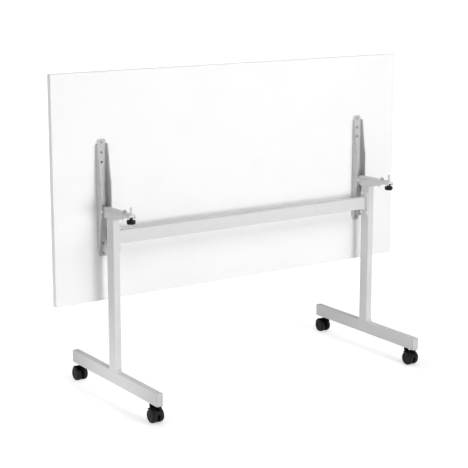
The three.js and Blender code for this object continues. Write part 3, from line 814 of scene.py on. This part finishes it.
def cross_beam():
    column_low, column_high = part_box("column_right")
    inner = column_low.x
    depth = column_high.x - column_low.x
    height = foot_height("right")
    low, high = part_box("cross_beam")
    middle = (low.z + high.z) / 2
    flange_half = (high.z - low.z) / 2
    back = high.y
    front = back - depth
    flange_front = low.y
    reach = inner - FLANGE_THICKNESS
    tube_low = Vector((-reach, front, middle - height / 2))
    tube_high = Vector((reach, back, middle + height / 2))
    tube = box_tube("beam_tube", "x", tube_low, tube_high)
    dress(tube, "frame", "silver_paint", "cross_beam")
    for side, sign in zip(SIDES, (-1, 1)):
        outline = rounded_rectangle(
            flange_front, middle - flange_half, -flange_front, middle + flange_half, FLANGE_CORNER
        )
        plate = prism(f"beam_flange_{side}", outline, "x", sign * reach, sign * inner)
        soften(plate, FLANGE_EDGE, 2)
        dress(plate, "frame", "silver_paint", "cross_beam")
        face = sign * reach
        edge = TUBE_CORNER / 2
        beads = (
            ("front", (face, front, tube_low.z + edge), (face, front, tube_high.z - edge), (0, -1, 0)),
            ("top", (face, front + edge, tube_high.z), (face, -flange_front, tube_high.z), (0, 0, 1)),
            ("bottom", (face, front + edge, tube_low.z), (face, -flange_front, tube_low.z), (0, 0, -1)),
        )
        for place, start, stop, out in beads:
            bead = weld(f"beam_weld_{side}_{place}", start, stop, out, (-sign, 0, 0), BEAM_WELD)
            dress(bead, "frame", "silver_paint")
        number = 0
        for y in (-FLANGE_BOLT_SPREAD_Y, FLANGE_BOLT_SPREAD_Y):
            for z in (middle - FLANGE_BOLT_SPREAD_Z, middle + FLANGE_BOLT_SPREAD_Z):
                number += 1
                head = button_head(
                    f"flange_bolt_{side}_{number}", "x", (face, y, z), -sign,
                    FLANGE_BOLT_RADIUS, FLANGE_BOLT_HEAD, FLANGE_BOLT_SOCKET,
                )
                dress(head, "frame", "steel", finish="bolt_zinc")


def arm(side):
    low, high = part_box(f"arm_{side}")
    tube_low, tube_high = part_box(f"column_{side}")
    pivot = Vector(joints["top_flip"]["pos_m"])
    middle = (low.x + high.x) / 2
    depth = foot_height(side) / 2
    round_half = (high.z - low.z) / 2
    nose = low.y
    tab_bottom = high.z - ARM_TAB
    outline = [
        (-depth, low.z),
        (high.y, low.z),
        (high.y, low.z + HEEL_HEIGHT),
        *arc(pivot.y, low.z + round_half, round_half, EYE_FROM, 90, 20),
        (nose, high.z),
        (nose, high.z - ARM_NOSE_HEIGHT),
        (ARM_TAPER_END, low.z + ARM_TAPER_RISE),
    ]
    beam = prism(f"bearer_arm_{side}", outline, "x", tube_low.x, tube_high.x)
    settle(soften(beam, ARM_EDGE, 4))
    half = (tube_high.x - tube_low.x) / 2
    stud_low, stud_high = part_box(f"lock_stud_{side}")
    lock_y = (stud_low.y + stud_high.y) / 2
    room = half - NOSE_WALL
    pocket_outline = [
        (middle - room, low.z),
        (middle + room, low.z),
        (middle + room, tab_bottom),
        (middle - room, tab_bottom),
    ]
    pocket = prism("pocket", pocket_outline, "y", nose - NOSE_WALL, nose + NOSE_POCKET)
    boss_half = (high.x - low.x) / 2
    eye_place = (middle, pivot.y, pivot.z)
    combine(beam, "UNION", rod("boss", "x", eye_place, BOSS_RADIUS, -boss_half, boss_half, 40))
    eye = rod("eye", "x", eye_place, PIVOT_HOLE, -2 * boss_half, 2 * boss_half)
    hole = rod("hole", "z", (middle, lock_y, 0), STUD_HOLE, low.z, 2 * high.z)
    combine(beam, "DIFFERENCE", pocket, eye, hole)
    seam_top = high.z - SEAM_BELOW_TOP
    seam_outline = [
        (SEAM_FROM, seam_top),
        (SEAM_TO, seam_top),
        (SEAM_TO, seam_top - SEAM_HEIGHT),
        (SEAM_FROM, seam_top - SEAM_HEIGHT),
    ]
    for face, into in ((tube_low.x, 1), (tube_high.x, -1)):
        seam = prism("seam", seam_outline, "x", face - into * SEAM_DEPTH, face + into * SEAM_DEPTH)
        combine(beam, "DIFFERENCE", seam)
    dress(beam, "frame", "silver_paint", f"arm_{side}")
    slope = ARM_TAPER_RISE / (ARM_TAPER_END + depth)
    rivet_root = low.z + slope * (RIVET_Y + depth)
    rivet_profile = [
        (0.0, rivet_root + RIVET_DROP / 2),
        (RIVET_RADIUS, rivet_root + RIVET_DROP / 2),
        (RIVET_RADIUS, rivet_root - RIVET_DROP * 0.6),
        (RIVET_RADIUS * 0.8, rivet_root - RIVET_DROP * 0.9),
        (RIVET_RADIUS * 0.4, rivet_root - RIVET_DROP),
        (0.0, rivet_root - RIVET_DROP),
    ]
    rivet = turned(f"arm_rivet_{side}", rivet_profile, "z", (middle, RIVET_Y, 0), 28)
    dress(rivet, "frame", "silver_paint")


def pivot_bolt(side):
    node = f"pivot_bolt_{side}"
    low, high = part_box(node)
    bracket_low, bracket_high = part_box(f"bracket_{side}")
    centre = ((low.x + high.x) / 2, (low.y + high.y) / 2, (low.z + high.z) / 2)
    tip = (high.x - low.x) / 2
    grip = (bracket_high.x - bracket_low.x) / 2 + PIVOT_HEAD_GAP
    head = (high.z - low.z) / 2
    height = tip - grip
    half = [
        (PIVOT_SHANK, grip),
        (head, grip),
        (head, grip + height * 0.35),
        (head * 0.93, grip + height * 0.62),
        (head * 0.78, grip + height * 0.88),
        (head * 0.6, tip),
        (hexagon(PIVOT_SOCKET), tip),
        (hexagon(PIVOT_SOCKET), tip - height * 0.6),
        (0.0, tip - height * 0.75),
    ]
    mirrored = [(radius, -along) for radius, along in reversed(half)]
    piece = turned(f"socket_pivot_bolt_{side}", mirrored + half, "x", centre, 36)
    return dress(piece, "frame", "steel", node)


def bump_stop(side):
    node = f"bump_stop_{side}"
    low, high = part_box(node)
    centre = ((low.x + high.x) / 2, (low.y + high.y) / 2, 0)
    radius = (high.y - low.y) / 2
    dome = high.z - low.z - STOP_SKIRT
    profile = [(0.0, low.z), (radius, low.z), (radius, low.z + STOP_SKIRT)]
    for angle in range(8, 91, 8):
        turn = math.radians(angle)
        profile.append((radius * math.cos(turn), low.z + STOP_SKIRT + dome * math.sin(turn)))
    profile.append((0.0, high.z))
    piece = turned(f"rubber_stop_{side}", profile, "z", centre, 36)
    return dress(piece, "frame", "stop_rubber", node)


cross_beam()
for side in SIDES:
    foot(side)
    column(side)
    arm(side)
    pivot_bolt(side)
    bump_stop(side)
    for end in ENDS:
        foot_cap(side, end)


# Lock screws

def lock_stud(side):
    """A threaded stud: the thread winds up as a ridge round the rod."""
    node = f"lock_stud_{side}"
    low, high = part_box(node)
    centre = Vector(((low.x + high.x) / 2, (low.y + high.y) / 2, 0))
    crest = (high.y - low.y) / 2
    steps = round((high.z - low.z) / THREAD_PITCH * THREAD_STEPS)
    rings = []
    for i in range(steps + 1):
        z = low.z + (high.z - low.z) * i / steps
        to_tip = min(z - low.z, high.z - z)
        limit = crest - STUD_CHAMFER + min(to_tip, STUD_CHAMFER)
        ring = []
        for k in range(STUD_SEGMENTS):
            angle = 2 * math.pi * k / STUD_SEGMENTS
            turn = (z / THREAD_PITCH - k / STUD_SEGMENTS) % 1
            ridge = 1 - abs(2 * turn - 1)
            reach = min(crest - THREAD_DEPTH * (1 - ridge), limit)
            ring.append(centre + point("z", reach * math.cos(angle), reach * math.sin(angle), z))
        rings.append(ring)
    return dress(loft(f"threaded_stud_{side}", rings), f"lock_screw_{side}", "steel", node)


def lock_knob(side):
    """A star grip below a flared neck, with a blind bore for the stud."""
    node = f"lock_knob_{side}"
    low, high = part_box(node)
    stud_low, stud_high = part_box(f"lock_stud_{side}")
    centre = ((stud_low.x + stud_high.x) / 2, (stud_low.y + stud_high.y) / 2, 0)
    bore = (stud_high.y - stud_low.y) / 2 + STUD_CLEARANCE
    bore_end = stud_low.z - STUD_CLEARANCE
    # Radius, depth of the lobes and height above the knob's foot, in millimetres
    body = (
        (0.0, 0.0, 0.8),
        (5.0, 0.0, 0.8),
        (5.6, 0.0, 0.2),
        (12.2, 0.7, 0.0),
        (13.7, 0.9, 0.3),
        (14.4, 1.1, 1.0),
        (14.7, 1.1, 2.0),
        (14.7, 1.1, 12.0),
        (14.4, 1.1, 12.7),
        (13.6, 1.0, 13.0),
        (9.2, 0.2, 13.3),
        (7.8, 0.0, 13.9),
        (7.1, 0.0, 15.2),
        (6.9, 0.0, 17.0),
        (6.8, 0.0, 22.4),
        (6.4, 0.0, 23.0),
    )
    profile = [(lobed(r * MM, d * MM, KNOB_LOBES), low.z + h * MM) for r, d, h in body]
    profile += [(bore, high.z), (bore, bore_end), (0.0, bore_end)]
    piece = turned(f"star_knob_{side}", profile, "z", centre, 60)
    return dress(piece, f"lock_screw_{side}", "black_plastic", node)


def lock_washer(side):
    node = f"lock_washer_{side}"
    low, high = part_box(node)
    centre = ((low.x + high.x) / 2, (low.y + high.y) / 2, 0)
    outer = (high.y - low.y) / 2
    profile = [
        (STUD_HOLE, low.z),
        (outer - WASHER_EDGE, low.z),
        (outer, low.z + WASHER_EDGE),
        (outer, high.z - WASHER_EDGE),
        (outer - WASHER_EDGE, high.z),
        (STUD_HOLE, high.z),
    ]
    piece = turned(f"round_washer_{side}", profile, "z", centre, 40, looped=True)
    return dress(piece, f"lock_carrier_{side}", "steel", node)


for side in SIDES:
    lock_stud(side)
    lock_knob(side)
    lock_washer(side)


# Castors, made over the stem axis with the axle trailing towards +Y and then put in place

def castor_axle(side, end):
    """How far the axle trails behind the stem, and how high it lies."""
    stem = Vector(joints[f"swivel_{side}_{end}"]["pos_m"])
    axle_low, axle_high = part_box(f"castor_axle_{side}_{end}")
    axle = (axle_low + axle_high) / 2
    return abs(axle.y - stem.y), axle.z


def arcs_round(trail, rise):
    """A function for arcs round an axle in Y and Z, as arc() makes them."""
    def around(radius, start, end, steps, last_radius=None):
        return arc(trail, rise, radius, start, end, steps, last_radius)
    return around


def band(around, first_radius, second_radius, start, end, steps):
    """Outline of a curved band between two radii."""
    return around(first_radius, start, end, steps) + around(second_radius, end, start, steps)


def put_in_place(piece, side, end):
    stem = Vector(joints[f"swivel_{side}_{end}"]["pos_m"])
    turn = Matrix.Rotation(math.pi if end == "front" else 0, 4, "Z")
    piece.data.transform(Matrix.Translation((stem.x, stem.y, 0)) @ turn)
    return piece


def castor_body(side, end):
    """A web between the wheels, with a neck for the stem, a hood, a tongue and ears for the pedal."""
    trail, rise = castor_axle(side, end)
    around = arcs_round(trail, rise)
    web_outline = [
        *around(BODY_UNDER_PEDAL, BODY_FROM, HOOD_FROM - BODY_STEP, 14),
        *around(BODY_UNDER_HOOD, HOOD_FROM, BODY_TO, 18),
        (-BODY_HALF_WIDTH, rise),
        *around(AXLE_BOSS, *AXLE_BOSS_ARC, 10),
    ]
    hood_outline = band(around, HOOD_OUTER, HOOD_INNER, HOOD_FROM, HOOD_TO, 22)
    body = prism(f"castor_hood_{side}_{end}", hood_outline, "x", -HOOD_HALF_WIDTH, HOOD_HALF_WIDTH)
    settle(soften(body, HOOD_EDGE, 3))
    web = prism("web", web_outline, "x", -BODY_HALF_WIDTH, BODY_HALF_WIDTH)
    neck_profile = [
        (0.0, rise),
        (BODY_HALF_WIDTH, rise),
        (BODY_HALF_WIDTH, NECK_FROM),
        (NECK_RADIUS, NECK_FROM + NECK_SHOULDER),
        (NECK_RADIUS, NECK_TOP - NECK_EDGE),
        (NECK_RADIUS - NECK_EDGE, NECK_TOP),
        (0.0, NECK_TOP),
    ]
    neck = turned("neck", neck_profile, "z", segments=36)
    joined = HOOD_FROM + HOOD_OVERLAP
    tongue_outline = band(around, HOOD_OUTER, HOOD_INNER, TONGUE_TO, joined, 12)
    tongue = prism("tongue", tongue_outline, "x", -TONGUE_HALF_WIDTH, TONGUE_HALF_WIDTH)
    settle(soften(tongue, HOOD_EDGE, 3))
    hinge_y, hinge_z = around(HINGE_RADIUS, HINGE_ANGLE, HINGE_ANGLE, 1)[0]
    ears = []
    ear_from = PEDAL_HALF_WIDTH + PEDAL_GAP
    ear_outline = band(around, HOOD_OUTER, HOOD_INNER, HINGE_ANGLE, joined, 4)
    for start, stop in ((-HOOD_HALF_WIDTH, -ear_from), (ear_from, HOOD_HALF_WIDTH)):
        ears.append(prism("ear", ear_outline, "x", start, stop))
        ears.append(rod("cheek", "x", (0, hinge_y, hinge_z), CHEEK_RADIUS, start, stop, 24))
    combine(body, "UNION", web, tongue, neck, *ears)
    stem_x = joints[f"swivel_{side}_{end}"]["pos_m"][0]
    wheel_low, wheel_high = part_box(f"wheel_{side}_{end}_inner")
    near, far = sorted(abs(x - stem_x) for x in (wheel_low.x, wheel_high.x))
    cup, rim = CUP_RADIUS - WHEEL_ROOM, rise + WHEEL_ROOM
    rings = []
    for out in (-1, 1):
        start, stop = out * (near - WHEEL_ROOM / 2), out * far
        room = [(cup, start), (rim, start), (rim, stop), (cup, stop)]
        rings.append(turned("room", room, "x", (0, trail, rise), WHEEL_SEGMENTS, looped=True))
    combine(body, "DIFFERENCE", *rings)
    put_in_place(body, side, end)
    node = f"castor_body_{side}_{end}"
    # The body's deeper black is partly painted shade, for the shade under the foot
    return dress(body, f"castor_{side}_{end}", "black_plastic", node, finish="black_plastic_with_painted_shade")


def brake_pedal(side, end):
    """A curved lever, forked round the hood's tongue, with grip ribs across its toe."""
    trail, rise = castor_axle(side, end)
    around = arcs_round(trail, rise)
    under = PEDAL_UNDER + PEDAL_LIFT
    over = under + PEDAL_THICKNESS
    lip_from = PEDAL_TO + PEDAL_LIP_ARC
    outline = [
        *around(under, PEDAL_TO, PEDAL_FROM, 18, PEDAL_UNDER),
        *around(PEDAL_UNDER + PEDAL_THICKNESS, PEDAL_FROM, lip_from, 18, over),
        around(over + PEDAL_LIP, PEDAL_TO, PEDAL_TO, 1)[0],
    ]
    lever = prism(f"brake_lever_{side}_{end}", outline, "x", -PEDAL_HALF_WIDTH, PEDAL_HALF_WIDTH)
    settle(soften(lever, PEDAL_EDGE, 3))
    pin_y, pin_z = around(HINGE_RADIUS, HINGE_ANGLE, HINGE_ANGLE, 1)[0]
    reach = TRUNNION_HALF_LENGTH
    parts = [rod("pin", "x", (0, pin_y, pin_z), TRUNNION_RADIUS, -reach, reach, 20)]
    rib_reach = PEDAL_HALF_WIDTH - PEDAL_RIB_INSET
    rib_end = rib_reach - PEDAL_RIB_RADIUS
    rib = [
        (0.0, -rib_reach),
        (PEDAL_RIB_RADIUS * 0.7, -rib_end - PEDAL_RIB_RADIUS * 0.3),
        (PEDAL_RIB_RADIUS, -rib_end),
        (PEDAL_RIB_RADIUS, rib_end),
        (PEDAL_RIB_RADIUS * 0.7, rib_end + PEDAL_RIB_RADIUS * 0.3),
        (0.0, rib_reach),
    ]
    for angle in PEDAL_RIBS:
        share = (PEDAL_FROM - angle) / (PEDAL_FROM - lip_from)
        surface = PEDAL_UNDER + PEDAL_THICKNESS + PEDAL_LIFT * share
        rib_y, rib_z = around(surface - PEDAL_RIB_SINK, angle, angle, 1)[0]
        parts.append(turned("rib", rib, "x", (0, rib_y, rib_z), 16))
    combine(lever, "UNION", *parts)
    notch_outline = band(around, rise, 2 * rise, NOTCH_TO, HOOD_FROM, 12)
    notch_half = TONGUE_HALF_WIDTH + PEDAL_GAP
    combine(lever, "DIFFERENCE", prism("notch", notch_outline, "x", -notch_half, notch_half))
    put_in_place(lever, side, end)
    return dress(lever, f"pedal_{side}_{end}", "black_plastic", f"brake_pedal_{side}_{end}")


def wheel(side, end, place):
    """A nylon wheel: a round shoulder, a dished face with a groove and a hub, and a cup inside; its
    inner side carries painted shade.
    """
    node = f"wheel_{side}_{end}_{place}"
    low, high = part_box(node)
    stem = Vector(joints[f"swivel_{side}_{end}"]["pos_m"])
    radius = (high.z - low.z) / 2
    centre = (0, (low.y + high.y) / 2, (low.z + high.z) / 2)
    out = 1 if (low.x + high.x) / 2 > stem.x else -1
    inside, outside = (low.x, high.x) if out > 0 else (high.x, low.x)
    width = abs(outside - inside)
    rim = radius - WHEEL_SHOULDER
    hub = WHEEL_HUB - abs(inside - stem.x)
    disc = hub + WHEEL_DISC
    cup = [
        (0.0, width - WHEEL_CAP),
        (WHEEL_BORE, width - WHEEL_CAP),
        (WHEEL_BORE, hub),
        (WHEEL_HUB_RADIUS, hub),
        (WHEEL_HUB_RADIUS + WHEEL_DISC / 2, disc),
        (CUP_RADIUS - CUP_EDGE, disc),
        (CUP_RADIUS, disc - CUP_EDGE),
        (CUP_RADIUS, 0.0),
    ]
    tread = arc(radius - WHEEL_TREAD_EDGE, WHEEL_TREAD_EDGE, WHEEL_TREAD_EDGE, -90, 0, 6)
    shoulder = arc(rim, width - WHEEL_SHOULDER, WHEEL_SHOULDER, 0, 90, 9)
    # Radius and depth below the outer face: the groove, the dish, the hub and the dimple in the hub
    face = (
        (rim - 1.0 * MM, 0.0),
        (rim - 1.3 * MM, WHEEL_GROOVE),
        (rim - 2.3 * MM, WHEEL_GROOVE),
        (rim - 2.6 * MM, 0.1 * MM),
        (9.0 * MM, 0.9 * MM),
        (6.4 * MM, 1.0 * MM),
        (6.0 * MM, 0.2 * MM),
        (5.2 * MM, 0.0),
        (2.2 * MM, 0.0),
        (1.8 * MM, 0.5 * MM),
        (0.0, 0.6 * MM),
    )
    shape = [*cup, *tread, *shoulder, *[(reach, width - depth) for reach, depth in face]]
    profile = [(reach, inside + out * along) for reach, along in shape]
    piece = turned(f"twin_wheel_{side}_{end}_{place}", profile, "x", centre, WHEEL_SEGMENTS)
    dress(piece, f"{place}_wheel_{side}_{end}", "wheel_plastic", node)
    # Painted shade: the wheel's inner side, towards the gap between the twin wheels, takes the deeper
    # black so the gap reads shaded
    piece.data.materials.append(MATERIALS["black_plastic_with_painted_shade"])
    for polygon in piece.data.polygons:
        if abs(polygon.center.x - inside) < WHEEL_TREAD_EDGE:
            polygon.material_index = 1
    return piece


for side in SIDES:
    for end in ENDS:
        castor_body(side, end)
        brake_pedal(side, end)
        for place in ("inner", "outer"):
            wheel(side, end, place)
        paint(f"castor_stem_{side}_{end}", "steel")
        paint(f"castor_axle_{side}_{end}", "steel")


# Stage, light and camera

def ranged(tree, value, given, wanted):
    """A value carried over from one range to another, and held at the ends."""
    node = tree.nodes.new("ShaderNodeMapRange")
    tree.links.new(value, node.inputs["Value"])
    node.inputs["From Min"].default_value, node.inputs["From Max"].default_value = given
    node.inputs["To Min"].default_value, node.inputs["To Max"].default_value = wanted
    return node.outputs["Result"]


def reckon(tree, operation, first, second):
    """A sum with two terms, each a number or a node's output."""
    node = tree.nodes.new("ShaderNodeMath")
    node.operation = operation
    for socket, term in zip(node.inputs, (first, second)):
        if isinstance(term, (int, float)):
            socket.default_value = term
        else:
            tree.links.new(term, socket)
    return node.outputs[0]


def looked_at(tree):
    """1 for camera, glossy and transmission rays, 0 for the light that falls on things."""
    path = tree.nodes.new("ShaderNodeLightPath").outputs
    shown = reckon(tree, "MAXIMUM", path["Is Camera Ray"], path["Is Glossy Ray"])
    return reckon(tree, "MAXIMUM", shown, path["Is Transmission Ray"])


def floor_material():
    """A pale floor that keeps shadows, lifted to white only for what looks at it."""
    material = bpy.data.materials.new("pale_floor")
    material.use_nodes = True
    tree = material.node_tree
    tree.nodes.clear()
    output = tree.nodes.new("ShaderNodeOutputMaterial")
    diffuse = tree.nodes.new("ShaderNodeBsdfDiffuse")
    diffuse.inputs["Color"].default_value = (*FLOOR_COLOUR, 1)
    lift = tree.nodes.new("ShaderNodeEmission")
    distance = tree.nodes.new("ShaderNodeVectorMath")
    distance.operation = "LENGTH"
    place = tree.nodes.new("ShaderNodeTexCoord").outputs["Object"]
    tree.links.new(place, distance.inputs[0])
    split = tree.nodes.new("ShaderNodeSeparateXYZ")
    tree.links.new(place, split.inputs["Vector"])
    behind = ranged(tree, split.outputs["Y"], FLOOR_LIFT_DEPTH, FLOOR_LIFT)
    far = ranged(tree, distance.outputs["Value"], FLOOR_LIFT_REACH, (0.0, FLOOR_LIFT_FAR))
    strength = reckon(tree, "MULTIPLY", looked_at(tree), reckon(tree, "ADD", behind, far))
    tree.links.new(strength, lift.inputs["Strength"])
    both = tree.nodes.new("ShaderNodeAddShader")
    tree.links.new(diffuse.outputs[0], both.inputs[0])
    tree.links.new(lift.outputs[0], both.inputs[1])
    tree.links.new(both.outputs[0], output.inputs["Surface"])
    return material


def studio_floor():
    ring = [
        (FLOOR_RADIUS * math.cos(math.radians(a)), FLOOR_RADIUS * math.sin(math.radians(a)), 0)
        for a in range(0, 360, 5)
    ]
    mesh = bpy.data.meshes.new("studio_floor")
    mesh.from_pydata(ring, [], [range(len(ring))])
    floor = bpy.data.objects.new("studio_floor", mesh)
    bpy.context.scene.collection.objects.link(floor)
    mesh.materials.append(floor_material())


def studio_world():
    """A tent of soft light, mostly from its walls, and white for what looks at it."""
    world = bpy.data.worlds.new("studio")
    bpy.context.scene.world = world
    world.use_nodes = True
    tree = world.node_tree
    background = tree.nodes["Background"]
    background.inputs["Color"].default_value = (1, 1, 1, 1)
    direction = tree.nodes.new("ShaderNodeSeparateXYZ")
    place = tree.nodes.new("ShaderNodeTexCoord").outputs["Generated"]
    tree.links.new(place, direction.inputs["Vector"])
    height = reckon(tree, "MAXIMUM", direction.outputs["Z"], 0.0)
    walls = 0.0
    for axis, sign, light in WALL_LIGHT:
        facing = reckon(tree, "MULTIPLY", direction.outputs[axis], sign * light)
        walls = reckon(tree, "ADD", walls, reckon(tree, "MAXIMUM", facing, 0.0))
    low_part = reckon(tree, "MULTIPLY", walls, reckon(tree, "SUBTRACT", 1.0, height))
    tent = reckon(tree, "ADD", low_part, reckon(tree, "MULTIPLY", height, CEILING_LIGHT))
    shown = tree.nodes.new("ShaderNodeMix")
    tree.links.new(looked_at(tree), shown.inputs["Factor"])
    tree.links.new(tent, shown.inputs["A"])
    shown.inputs["B"].default_value = 1.0
    tree.links.new(shown.outputs["Result"], background.inputs["Strength"])


def soft_box(name, place, target, size, power, spread=180):
    """A square lamp that shines on a target, with the full angle of its beam in degrees."""
    lamp = bpy.data.lights.new(name, "AREA")
    lamp.shape = "SQUARE"
    lamp.size = size
    lamp.energy = power
    lamp.spread = math.radians(spread)
    holder = bpy.data.objects.new(name, lamp)
    holder.location = place
    aim = Vector(target) - Vector(place)
    holder.rotation_euler = aim.to_track_quat("-Z", "Y").to_euler()
    holder.visible_camera = False
    bpy.context.scene.collection.objects.link(holder)


def studio_camera():
    data = bpy.data.cameras.new("photo_view")
    data.lens = CAMERA_LENS
    data.sensor_width = CAMERA_SENSOR
    data.shift_y = CAMERA_SHIFT_Y
    data.clip_end = 4 * FLOOR_RADIUS
    camera = bpy.data.objects.new("photo_view", data)
    camera.location = CAMERA_PLACE
    camera.rotation_euler = (math.radians(90 - CAMERA_PITCH), 0, math.radians(-CAMERA_YAW))
    bpy.context.scene.collection.objects.link(camera)
    bpy.context.scene.camera = camera


studio_floor()
studio_world()
soft_box("key_light", place=(0.9, -2.4, 3.0), target=(0, 0, 0.6), size=1.8, power=42)
soft_box("low_front_light", place=(0.3, -3.6, 0.35), target=(0, 0, 0.6), size=1.2, power=67)
soft_box(
    "low_left_light", place=(-2.4, -0.3, 0.15), target=(-0.56, 0, 0.02), size=0.35, power=0.33, spread=26
)
soft_box("near_left_light", place=(-2.0, -0.5, 0.9), target=(-0.5, 0, 0.7), size=0.9, power=4.1)
studio_camera()
bpy.context.scene.view_settings.view_transform = "Standard"
